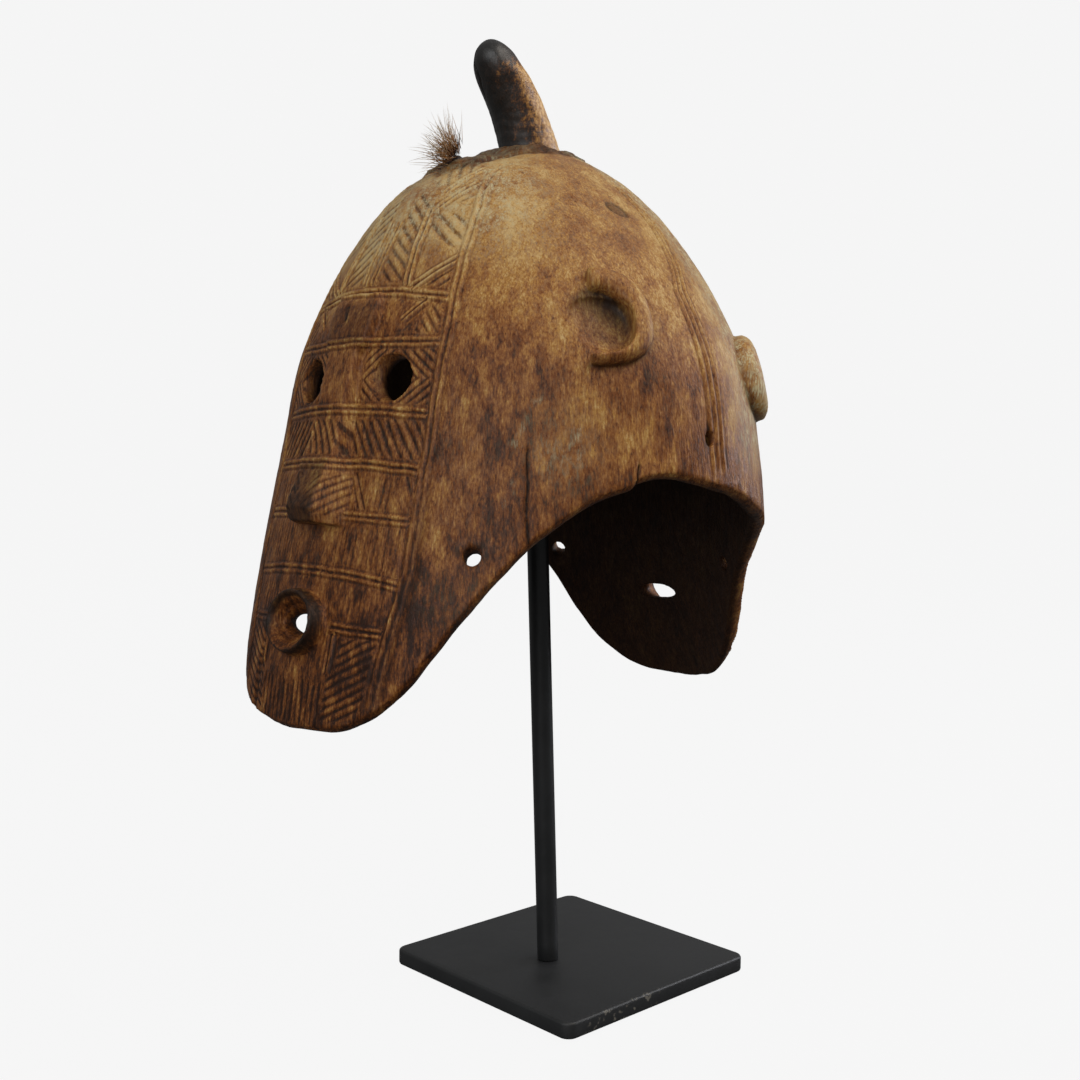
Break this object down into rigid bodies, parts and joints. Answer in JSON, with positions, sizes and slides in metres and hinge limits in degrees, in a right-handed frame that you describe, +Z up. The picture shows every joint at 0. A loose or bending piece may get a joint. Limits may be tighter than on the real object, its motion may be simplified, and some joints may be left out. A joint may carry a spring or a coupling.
{
  "type": "janus helmet mask",
  "caption": "Carved wooden helmet mask with a face front and back, a horn and a fur tuft on the crown, held on a rod and square base plate.",
  "frame": {"origin": "under the foot pads, below the centre of the part's bounding box", "axes": "+Z up along the rod towards the horn, -Y the way the front face looks, +X towards the part's own left"},
  "size_m": [0.2962, 0.3081, 0.5446],
  "materials": {
    "carved_wood": "worn satin patina, honey brown on the crown and dark red-brown on the flaps",
    "horn": "natural horn, near black in front and amber brown behind, satin",
    "fur": "dry stiff hair, dark at the root and pale at the tips",
    "stand_black": "satin black paint on steel",
    "cork": "bare cork pads"
  },
  "bodies": {
    "root": {"mask": "carved_wood", "horn": "horn", "fur_tuft": "fur", "stand_rod": "stand_black", "stand_plate": "stand_black", "foot_pad_front_left": "cork", "foot_pad_front_right": "cork", "foot_pad_back_left": "cork", "foot_pad_back_right": "cork"}
  },
  "joints": []
}
